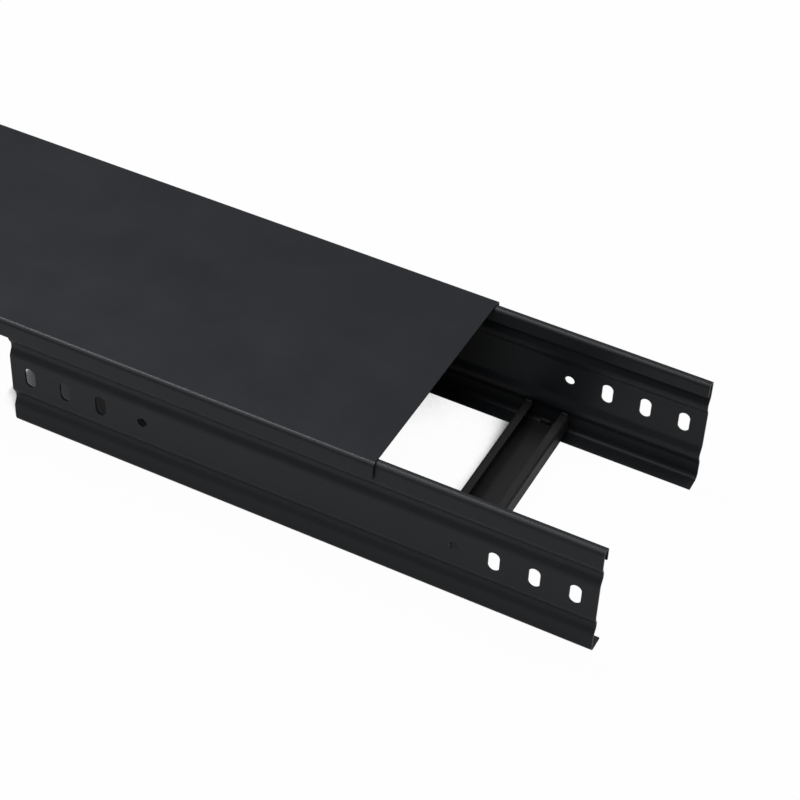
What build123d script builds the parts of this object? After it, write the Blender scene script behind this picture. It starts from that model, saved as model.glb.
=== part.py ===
from build123d import *
import os

# Cable ladder section with a slide-on cover, all of painted sheet steel.
# X runs along the rails, Y across them, Z up; the rails stand on z = 0.
# The front rail is the one at -Y, and the cover is slid towards -X.

# ladder
ladder_length = 480.0
ladder_width = 200.0
rail_height = 100.0
rail_sheet = 1.5

# side rail section
bottom_flange = 15.0
bottom_bend_radius = 5.0
top_flange = 8.0
top_lip = 12.0
top_bend_radius = 4.0
lip_bend_radius = 3.0
bead_low_height = 25.0
bead_high_height = 75.0
bead_width = 16.0
bead_floor = 4.0
bead_depth = 3.0
bead_edge_radius = 8.0
bead_floor_radius = 5.0

# holes at each rail end: upright slots, then a round earthing hole one step further inboard
slot_count = 3
slot_end_distance = 17.0
slot_pitch = 31.0
slot_width = 9.0
slot_height = 18.0
hole_row_height = 51.0
earth_hole_diameter = 8.0
earth_hole_left_step = 36.0
earth_hole_right_step = 31.0

# rungs
rung_count = 2
rung_pitch = 231.0
rung_width = 38.0
rung_height = 17.0
rung_lip = 7.0
rung_sheet = 1.5
rung_bend_radius = 2.5
rung_end_clearance = 0.2

# cover
cover_length = 480.0
cover_sheet = 1.2
cover_flange = 15.0
cover_bend_radius = 3.5
cover_side_clearance = 0.9
cover_opening = 174.0

# places that follow from the sizes above
overall_length = cover_opening + cover_length
rail_right_end = overall_length / 2
rail_left_end = rail_right_end - ladder_length
rail_middle_x = (rail_right_end + rail_left_end) / 2
cover_right_end = rail_right_end - cover_opening
half_width = ladder_width / 2


def sheet_section(outer_points, bend_radii, sheet):
    """Closed outline of a formed sheet: a line along its outer face, rounded at each bend,
    thickened by the sheet on its right-hand side."""
    outer_line = FilletPolyline(*outer_points, radius=bend_radii)
    outline = outer_line.wire().offset_2d(sheet, kind=Kind.ARC, side=Side.RIGHT, closed=True)
    return Face(outline)


def bead_points(height):
    """Four corners of a groove pressed inwards into the web, from its lower edge up."""
    return [
        (0, height - bead_width / 2),
        (bead_depth, height - bead_floor / 2),
        (bead_depth, height + bead_floor / 2),
        (0, height + bead_width / 2),
    ]


def rail_section():
    """Rail section seen along the rail: first axis inwards from the web's outer face, second up."""
    points = [(bottom_flange, 0), (0, 0)]
    points += bead_points(bead_low_height)
    points += bead_points(bead_high_height)
    points += [(0, rail_height), (top_flange, rail_height), (top_flange, rail_height - top_lip)]
    bead_radii = [bead_edge_radius, bead_floor_radius, bead_floor_radius, bead_edge_radius]
    radii = [bottom_bend_radius] + bead_radii + bead_radii + [top_bend_radius, lip_bend_radius]
    return sheet_section(points, radii, rail_sheet)


def hole_cutters():
    """Slots and earthing holes of both rail ends, as bars that run right through the web."""
    reach = 2 * (top_flange + bead_depth + rail_sheet)
    last_slot_distance = slot_end_distance + (slot_count - 1) * slot_pitch
    ends = (
        (rail_left_end, 1, earth_hole_left_step),
        (rail_right_end, -1, earth_hole_right_step),
    )
    cutters = []
    for end, inward, earth_hole_step in ends:
        for number in range(slot_count):
            x = end + inward * (slot_end_distance + number * slot_pitch)
            place = Plane((x, 0, hole_row_height), x_dir=(0, 0, 1), z_dir=(0, -1, 0))
            slot = place * SlotOverall(slot_height, slot_width)
            cutters.append(extrude(slot, reach, both=True))
        x = end + inward * (last_slot_distance + earth_hole_step)
        place = Plane((x, 0, hole_row_height), x_dir=(1, 0, 0), z_dir=(0, -1, 0))
        cutters.append(extrude(place * Circle(earth_hole_diameter / 2), reach, both=True))
    return cutters


def front_rail():
    """Rail on the -Y side: its web faces outwards, its flanges inwards."""
    profile_plane = Plane((rail_left_end, -half_width, 0), x_dir=(0, 1, 0), z_dir=(1, 0, 0))
    rail = extrude(profile_plane * rail_section(), ladder_length, dir=(1, 0, 0))
    for cutter in hole_cutters():
        rail -= Pos(0, -half_width, 0) * cutter
    return rail


def rung(middle_x):
    """Lipped channel, open upwards, that stands on the bottom flanges between the webs."""
    half = rung_width / 2
    points = [
        (half - rung_lip, rung_height),
        (half, rung_height),
        (half, 0),
        (-half, 0),
        (-half, rung_height),
        (-half + rung_lip, rung_height),
    ]
    section = sheet_section(points, [rung_bend_radius] * 4, rung_sheet)
    end_inset = max(bead_depth + rail_sheet, bottom_bend_radius) + rung_end_clearance
    length = ladder_width - 2 * end_inset
    section_plane = Plane((middle_x, length / 2, rail_sheet), x_dir=(1, 0, 0), z_dir=(0, -1, 0))
    return extrude(section_plane * section, length, dir=(0, -1, 0))


def cover():
    """Flat lid on the rails' top flanges, with both sides bent down outside the webs."""
    half = half_width + cover_side_clearance + cover_sheet
    top = cover_sheet
    points = [(-half, top - cover_flange), (-half, top), (half, top), (half, top - cover_flange)]
    section = sheet_section(points, [cover_bend_radius] * 2, cover_sheet)
    left_end = cover_right_end - cover_length
    section_plane = Plane((left_end, 0, rail_height), x_dir=(0, 1, 0), z_dir=(1, 0, 0))
    return extrude(section_plane * section, cover_length, dir=(1, 0, 0))


def build():
    """All pieces by name, each in its place."""
    front = front_rail()
    pieces = {
        "side_rail_front": front,
        "side_rail_back": mirror(front, about=Plane.XZ),
        "cover": cover(),
    }
    first_rung_x = rail_middle_x - rung_pitch * (rung_count - 1) / 2
    for number in range(rung_count):
        pieces[f"rung_{number + 1}"] = rung(first_rung_x + number * rung_pitch)
    return pieces


os.makedirs("parts", exist_ok=True)
for name, piece in build().items():
    export_step(piece, f"parts/{name}.step")
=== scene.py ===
import bpy
import numpy as np
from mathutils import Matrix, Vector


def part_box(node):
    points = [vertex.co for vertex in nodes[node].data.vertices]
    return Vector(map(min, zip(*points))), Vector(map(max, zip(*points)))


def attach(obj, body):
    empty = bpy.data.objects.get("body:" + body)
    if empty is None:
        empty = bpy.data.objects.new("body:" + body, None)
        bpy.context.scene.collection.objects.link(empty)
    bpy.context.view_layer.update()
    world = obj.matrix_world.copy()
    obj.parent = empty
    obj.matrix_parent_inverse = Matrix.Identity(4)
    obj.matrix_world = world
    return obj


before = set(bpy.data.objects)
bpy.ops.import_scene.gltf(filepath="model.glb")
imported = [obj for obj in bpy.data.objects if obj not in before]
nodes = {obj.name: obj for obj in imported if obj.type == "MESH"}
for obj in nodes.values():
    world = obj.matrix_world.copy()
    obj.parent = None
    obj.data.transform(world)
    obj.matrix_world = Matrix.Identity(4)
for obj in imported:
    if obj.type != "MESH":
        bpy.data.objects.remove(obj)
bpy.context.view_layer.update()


# Side rails: roll-formed from 1.5 mm sheet steel, with two grooves pressed in along the web for
# stiffness, punched at the ends, then hung on a line and powder coated satin black.
# The coat is what the eye meets: dark, even and satin, with a fine orange peel.

COAT_BLACK = "#222427"
COAT_BLACK_THIN = "#26282B"
RAIL_ROUGHNESS = 0.4
RAIL_GLOSS = 0.22
COAT_FLOW = 0.045
FLOW_LOW, FLOW_HIGH = 0.3, 0.7
SHEEN_CHANGE = 0.03
ORANGE_PEEL = 0.0022
PEEL_DEPTH = 0.00004
PEEL_STRENGTH = 0.35
COAT_IOR = 1.5


def linear(hex_colour):
    """Linear RGBA of an sRGB colour written as hex: ((c + 0.055) / 1.055) ** 2.4 above the toe."""
    srgb = np.array([int(hex_colour[i:i + 2], 16) for i in (1, 3, 5)]) / 255
    rgb = np.where(srgb <= 0.04045, srgb / 12.92, ((srgb + 0.055) / 1.055) ** 2.4)
    return (*(float(c) for c in rgb), 1.0)


def add(tree, kind, settings=None, inputs=None):
    """One shader node: its settings, and its inputs, each a plain value or the socket it links from."""
    node = tree.nodes.new(kind)
    for name, value in (settings or {}).items():
        setattr(node, name, value)
    for name, value in (inputs or {}).items():
        if isinstance(value, bpy.types.NodeSocket):
            tree.links.new(value, node.inputs[name])
        else:
            node.inputs[name].default_value = value
    return node


def powder_coat(name, dark, light, roughness, gloss, offset):
    """Satin black powder coat over sheet steel. The film flows a little thicker and thinner every few
    centimetres, which changes its shade and sheen by a hair, and it cures with an orange peel a
    couple of millimetres across. The offset gives each kind of piece its own part of the pattern."""
    material = bpy.data.materials.new(name)
    material.use_nodes = True
    tree = material.node_tree
    tree.nodes.clear()
    place = add(tree, "ShaderNodeTexCoord").outputs["Object"]
    place = add(tree, "ShaderNodeMapping", inputs={"Vector": place, "Location": offset}).outputs["Vector"]
    flow = add(tree, "ShaderNodeTexNoise", inputs={
        "Vector": place, "Scale": 1 / COAT_FLOW, "Detail": 3.0, "Roughness": 0.55}).outputs["Fac"]
    peel = add(tree, "ShaderNodeTexNoise", inputs={
        "Vector": place, "Scale": 1 / ORANGE_PEEL, "Detail": 2.0, "Roughness": 0.5}).outputs["Fac"]
    shade = add(tree, "ShaderNodeMix", {"data_type": "RGBA"}, {
        0: flow, 6: linear(dark), 7: linear(light)}).outputs[2]
    sheen = add(tree, "ShaderNodeMapRange", inputs={
        "Value": flow, "From Min": FLOW_LOW, "From Max": FLOW_HIGH,
        "To Min": roughness - SHEEN_CHANGE, "To Max": roughness + SHEEN_CHANGE}).outputs["Result"]
    peeled = add(tree, "ShaderNodeBump", inputs={
        "Height": peel, "Distance": PEEL_DEPTH, "Strength": PEEL_STRENGTH}).outputs["Normal"]
    coat = add(tree, "ShaderNodeBsdfPrincipled", inputs={
        "Base Color": shade, "Roughness": sheen, "Normal": peeled,
        "IOR": COAT_IOR, "Specular IOR Level": gloss}).outputs["BSDF"]
    add(tree, "ShaderNodeOutputMaterial", inputs={"Surface": coat})
    return material


rail_coat = powder_coat("powder_coated_rail_steel", COAT_BLACK, COAT_BLACK_THIN,
                        RAIL_ROUGHNESS, RAIL_GLOSS, (0.0, 0.0, 0.0))
for name in ("side_rail_front", "side_rail_back"):
    nodes[name].data.materials.clear()
    nodes[name].data.materials.append(rail_coat)


# Rungs: channels folded from the same sheet with their lips turned in, standing on the bottom
# flanges and welded there before the ladder is coated. Their coat is painted a little greyer than
# the rails': painted light, for how light falls on the rungs. It is also a little rougher and less
# glossy than the rails'.

# These rung colours are lighter than the rails' coat: painted light, not a different paint.
RUNG_BLACK_PAINTED_LIGHT = "#262627"
RUNG_BLACK_THIN_PAINTED_LIGHT = "#2A2A2B"
RUNG_ROUGHNESS = 0.42
RUNG_GLOSS = 0.18
rung_coat_with_painted_light = powder_coat("powder_coated_rung_steel_with_painted_light", RUNG_BLACK_PAINTED_LIGHT, RUNG_BLACK_THIN_PAINTED_LIGHT,
                        RUNG_ROUGHNESS, RUNG_GLOSS, (0.3, 0.1, 0.2))
for name in ("rung_1", "rung_2"):
    nodes[name].data.materials.clear()
    nodes[name].data.materials.append(rung_coat_with_painted_light)


# Welds: short beads of weld metal run by hand at both ends of each rung, one across its floor and
# one on each lip, where they meet the rail. They are coated over with the rung. Their size is
# guessed from a pale spot at the end of the rung's floor.

FLOOR_WELD_LENGTH, FLOOR_WELD_WIDTH = 0.010, 0.0036
FLOOR_WELD_HEIGHT, FLOOR_WELD_REACH = 0.0048, 0.0012
LIP_WELD_LENGTH, LIP_WELD_WIDTH = 0.006, 0.003
LIP_WELD_HEIGHT, LIP_WELD_REACH = 0.0188, 0.0008
LIP_WELD_INSET = 0.004
RIPPLE_PITCH = 0.0018
RIPPLE_SWELL = 1 / 12
STEPS_ALONG, STEPS_AROUND = 33, 16


def weld_bead(centre, length, width):
    """A bead of weld that lies along X. Its round section has the given width times
    sqrt(1 - (2 s)^4), where s runs from -1/2 to 1/2 along the bead, and swells by a twelfth
    with a cosine ripple; at both ends it closes to one point."""
    along = np.linspace(-0.5, 0.5, STEPS_ALONG)[1:-1, None]
    around = np.linspace(0, 2 * np.pi, STEPS_AROUND, endpoint=False)
    ripple = 1 + RIPPLE_SWELL * np.cos(2 * np.pi * length / RIPPLE_PITCH * along)
    radius = width / 2 * np.sqrt(1 - (2 * along) ** 4) * ripple
    rings = np.stack([length * along + 0 * around, radius * np.cos(around), radius * np.sin(around)], 2)
    tips = [(-length / 2, 0, 0), (length / 2, 0, 0)]
    points = np.vstack([rings.reshape(-1, 3), tips]) + centre
    ring = np.arange(STEPS_AROUND)
    after = (ring + 1) % STEPS_AROUND
    start = STEPS_AROUND * np.arange(STEPS_ALONG - 3)[:, None]
    sides = np.stack([start + ring, start + after, start + after + STEPS_AROUND,
                      start + ring + STEPS_AROUND], 2).reshape(-1, 4)
    last = STEPS_AROUND * (STEPS_ALONG - 3)
    left_tip, right_tip = len(points) - 2, len(points) - 1
    left_end = np.stack([np.full(STEPS_AROUND, left_tip), after, ring], 1)
    right_end = np.stack([np.full(STEPS_AROUND, right_tip), last + ring, last + after], 1)
    return points, [face.tolist() for faces in (sides, left_end, right_end) for face in faces]


for name in ("rung_1", "rung_2"):
    low, high = (np.array(corner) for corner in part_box(name))
    middle, lip_place = (low[0] + high[0]) / 2, (high[0] - low[0]) / 2 - LIP_WELD_INSET
    floor_weld = (0.0, FLOOR_WELD_HEIGHT, FLOOR_WELD_REACH, FLOOR_WELD_LENGTH, FLOOR_WELD_WIDTH)
    lip_welds = [(side * lip_place, LIP_WELD_HEIGHT, LIP_WELD_REACH, LIP_WELD_LENGTH, LIP_WELD_WIDTH)
                 for side in (-1, 1)]
    points, faces, count = [], [], 0
    for end in (low[1], high[1]):
        for offset, height, reach, length, width in (floor_weld, *lip_welds):
            centre = (middle + offset, end + np.sign(end) * reach, height)
            bead, bead_faces = weld_bead(centre, length, width)
            points.append(bead)
            faces += [[corner + count for corner in face] for face in bead_faces]
            count += len(bead)
    mesh = bpy.data.meshes.new(f"{name}_welds")
    mesh.from_pydata(np.vstack(points).tolist(), [], faces)
    mesh.shade_smooth()
    # The welds take the rung's coat, with its painted light.
    mesh.materials.append(rung_coat_with_painted_light)
    welds = bpy.data.objects.new(f"{name}_welds", mesh)
    bpy.context.scene.collection.objects.link(welds)
    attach(welds, "ladder")


# Cover: a flat lid of 1.2 mm sheet with both long sides folded down over the rails, which guide
# it as it slides on. It is coated on its own, and its film levels out a little smoother than the
# ladder's, so that the light on it is even.

COVER_BLACK = "#222427"
COVER_BLACK_THIN = "#26282B"
COVER_ROUGHNESS = 0.32
COVER_GLOSS = 0.2
cover_coat = powder_coat("powder_coated_cover_steel", COVER_BLACK, COVER_BLACK_THIN,
                         COVER_ROUGHNESS, COVER_GLOSS, (0.7, 0.4, 0.1))
nodes["cover"].data.materials.clear()
nodes["cover"].data.materials.append(cover_coat)


# Studio table: a white board that runs out of the picture on all sides. Where it lies open it is
# seen plain white, as in the photograph; in the shade under the object it keeps its own light.

FLOOR_REACH = 40.0
WHITE = (1.0, 1.0, 1.0, 1.0)
TABLE_PAINT = "#B4B4B4"
SKY_REACH = 0.6
SKY_SAMPLES = 48
# How open a place lies is measured around a direction that leans towards the ladder's open end,
# and counts for more beyond the rails' left end: the photograph shows white at both ends and
# dark through the holes under the cover.
SKY_LEAN = {"X": 0.7, "Y": 0.0, "Z": 0.714}
CLEAR_SKY = 0.18
CLEAR_START, CLEAR_FULL = 0.023, 0.031
SHADED, OPEN = 0.28, 0.36
MIRROR_SHADED, MIRROR_OPEN = 0.1, 0.8
SEEN_WHITE = 0.98
MIRRORED_WHITE = 0.26


def soft_step(tree, value, low, high, at_low, at_high):
    """Goes smoothly from one value to another as its input crosses from low to high."""
    return add(tree, "ShaderNodeMapRange", {"interpolation_type": "SMOOTHSTEP"}, {
        "Value": value, "From Min": low, "From Max": high,
        "To Min": at_low, "To Max": at_high}).outputs["Result"]


def calculate(tree, operation, first, second):
    """One step of arithmetic between two sockets or values."""
    return add(tree, "ShaderNodeMath", {"operation": operation}, {0: first, 1: second}).outputs[0]


def white_share(tree, seen, mirrored):
    """How much plain white a ray finds: the share seen by the camera, or the share mirrored, for rays
    that gloss or glass send on."""
    rays = add(tree, "ShaderNodeLightPath").outputs
    sent_on = calculate(tree, "MAXIMUM", rays["Is Glossy Ray"], rays["Is Transmission Ray"])
    in_gloss = calculate(tree, "MULTIPLY", sent_on, mirrored)
    in_view = calculate(tree, "MULTIPLY", rays["Is Camera Ray"], seen)
    return calculate(tree, "ADD", in_view, in_gloss)


white_table = bpy.data.materials.new("white_table")
white_table.use_nodes = True
tree = white_table.node_tree
tree.nodes.clear()
lean = add(tree, "ShaderNodeCombineXYZ", inputs=SKY_LEAN).outputs[0]
sky = add(tree, "ShaderNodeAmbientOcclusion", {"samples": SKY_SAMPLES}, {
    "Distance": SKY_REACH, "Normal": lean}).outputs["AO"]
left_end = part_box("side_rail_front")[0].x
along = add(tree, "ShaderNodeTexCoord").outputs["Object"]
along = add(tree, "ShaderNodeSeparateXYZ", inputs={0: along}).outputs["X"]
clear_sky = soft_step(tree, along, left_end - CLEAR_FULL, left_end - CLEAR_START, CLEAR_SKY, 0.0)
seen_sky = calculate(tree, "ADD", sky, clear_sky)
share = white_share(tree, soft_step(tree, seen_sky, SHADED, OPEN, 0.0, SEEN_WHITE),
                    soft_step(tree, sky, MIRROR_SHADED, MIRROR_OPEN, 0.0, MIRRORED_WHITE))
paint = add(tree, "ShaderNodeBsdfDiffuse", inputs={"Color": linear(TABLE_PAINT)}).outputs["BSDF"]
glow = add(tree, "ShaderNodeEmission", inputs={"Color": WHITE, "Strength": 1.0}).outputs["Emission"]
table = add(tree, "ShaderNodeMixShader", inputs={0: share, 1: paint, 2: glow}).outputs[0]
add(tree, "ShaderNodeOutputMaterial", inputs={"Surface": table})

floor_mesh = bpy.data.meshes.new("floor")
floor_mesh.from_pydata(
    [(-FLOOR_REACH, -FLOOR_REACH, 0), (FLOOR_REACH, -FLOOR_REACH, 0),
     (FLOOR_REACH, FLOOR_REACH, 0), (-FLOOR_REACH, FLOOR_REACH, 0)], [], [(0, 1, 2, 3)])
floor_mesh.materials.append(white_table)
floor = bpy.data.objects.new("floor", floor_mesh)
bpy.context.scene.collection.objects.link(floor)


# Studio room: dim all round, so that the coat mirrors little but the softboxes. The camera sees a
# white backdrop, and gloss finds the same dim white at the horizon as it does on the table.

ROOM_LIGHT = 0.15
HORIZON_HEIGHT = 0.08

world = bpy.data.worlds.new("studio")
bpy.context.scene.world = world
world.use_nodes = True
tree = world.node_tree
tree.nodes.clear()
direction = add(tree, "ShaderNodeTexCoord").outputs["Generated"]
height = add(tree, "ShaderNodeSeparateXYZ", inputs={0: direction}).outputs["Z"]
share = white_share(tree, 1.0, soft_step(tree, height, 0.0, HORIZON_HEIGHT, MIRRORED_WHITE, 0.0))
room = add(tree, "ShaderNodeBackground", inputs={"Color": WHITE, "Strength": ROOM_LIGHT}).outputs[0]
backdrop = add(tree, "ShaderNodeBackground", inputs={"Color": WHITE, "Strength": 1.0}).outputs[0]
studio = add(tree, "ShaderNodeMixShader", inputs={0: share, 1: room, 2: backdrop}).outputs[0]
add(tree, "ShaderNodeOutputWorld", inputs={"Surface": studio})


# Softboxes: rectangular lamps two metres up. The left and right ones stand a little behind the
# object and draw the thin bright lines along its bends; the large front one fills the inside.

def unit(vector):
    """The vector at length 1."""
    return np.asarray(vector, float) / np.linalg.norm(vector)


def aim(thing, place, forward, up):
    """Puts a lamp or camera at a place, looking along forward, with up as near its own up as can be."""
    side = unit(np.cross(forward, up))
    top = np.cross(side, forward)
    matrix = np.eye(4)
    matrix[:3, 0], matrix[:3, 1], matrix[:3, 2], matrix[:3, 3] = side, top, -forward, place
    thing.matrix_world = matrix.T.tolist()


def softbox(name, place, width, depth, power):
    """A rectangular softbox of a width and depth in metres and a power in watts, which faces the
    middle of the object."""
    lamp = bpy.data.lights.new(name, "AREA")
    lamp.shape = "RECTANGLE"
    lamp.size, lamp.size_y, lamp.energy = width, depth, power
    holder = bpy.data.objects.new(name, lamp)
    bpy.context.scene.collection.objects.link(holder)
    aim(holder, place, unit(-np.array(place, float)), (0.0, 1.0, 0.001))


softbox("left_softbox", (-0.97, 0.45, 2.2), 1.3, 0.6, 31)
softbox("front_softbox", (-0.5, -0.7, 2.1), 2.6, 2.2, 28)
softbox("right_softbox", (0.8, 0.6, 2.2), 0.8, 0.8, 12)


# Camera: where the photograph was taken from, a little over a metre and a half from the ladder's
# right end. The angles are in radians. The rail end's place is in metres as the camera sees it,
# to the right, up and towards the viewer. All were worked out from the photograph's edges and holes.

PICTURE = 800
FOCAL_PIXELS = 2256.155
SENSOR_WIDTH = 36.0
NEAREST_SEEN, FARTHEST_SEEN = 0.05, 50.0
VIEW_TURN = 0.441630
VIEW_DOWN = 0.741717
VIEW_ROLL = 0.051520
RAIL_END_FROM_CAMERA = np.array([0.178855, -0.117723, -1.640663])

forward = np.array([-np.sin(VIEW_TURN) * np.cos(VIEW_DOWN),
                    np.cos(VIEW_TURN) * np.cos(VIEW_DOWN), -np.sin(VIEW_DOWN)])
level = unit(np.cross(forward, (0.0, 0.0, 1.0)))
upward = np.cross(level, forward)
picture_up = upward * np.cos(VIEW_ROLL) - level * np.sin(VIEW_ROLL)
picture_side = level * np.cos(VIEW_ROLL) + upward * np.sin(VIEW_ROLL)
rail_end = np.array([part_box("side_rail_front")[1].x, 0.0, 0.0])
eye = rail_end - np.array([picture_side, picture_up, -forward]).T @ RAIL_END_FROM_CAMERA

camera = bpy.data.cameras.new("camera")
camera.sensor_width = SENSOR_WIDTH
camera.lens = FOCAL_PIXELS / PICTURE * SENSOR_WIDTH
camera.clip_start, camera.clip_end = NEAREST_SEEN, FARTHEST_SEEN
holder = bpy.data.objects.new("camera", camera)
bpy.context.scene.collection.objects.link(holder)
aim(holder, eye, forward, picture_up)
bpy.context.scene.camera = holder
bpy.context.scene.view_settings.view_transform = "Standard"
